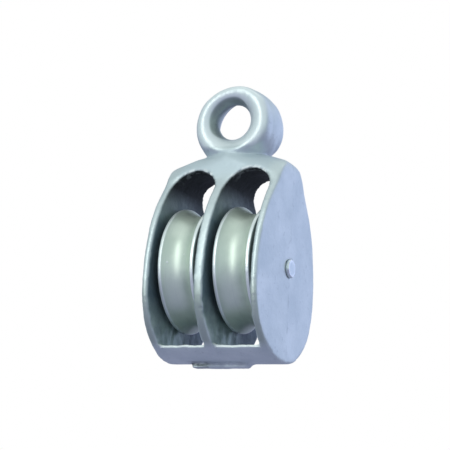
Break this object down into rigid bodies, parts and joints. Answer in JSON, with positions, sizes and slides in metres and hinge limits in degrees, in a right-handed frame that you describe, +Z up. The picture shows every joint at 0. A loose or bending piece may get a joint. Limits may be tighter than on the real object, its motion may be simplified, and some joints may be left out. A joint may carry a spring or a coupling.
{
  "type": "double sheave block",
  "caption": "Rigid-eye pulley block with twin grooved sheaves turning freely side by side on a fixed pin in a cast body.",
  "frame": {"origin": "on the eye's bore axis, at the middle of the bore's narrow land", "axes": "+Z up from the sheaves to the eye, +Y along the eye's bore towards the back, +X along the axle pin"},
  "size_m": [0.0402, 0.0426, 0.0864],
  "materials": {
    "body_casting": "plated zinc casting, satin",
    "pin_steel": "plated, satin",
    "sheave_metal": "plated, satin, turned"
  },
  "bodies": {
    "block": {"block_body": "body_casting", "axle_pin": "pin_steel"},
    "left_sheave": {"left_sheave": "sheave_metal"},
    "right_sheave": {"right_sheave": "sheave_metal"}
  },
  "joints": [
    {"name": "left_sheave_spin", "type": "hinge", "parent": "block", "child": "left_sheave", "pos_m": [-0.0089, 0.0024, -0.0454], "axis": [1, 0, 0], "continuous": true},
    {"name": "right_sheave_spin", "type": "hinge", "parent": "block", "child": "right_sheave", "pos_m": [0.0089, 0.0024, -0.0454], "axis": [1, 0, 0], "continuous": true}
  ]
}
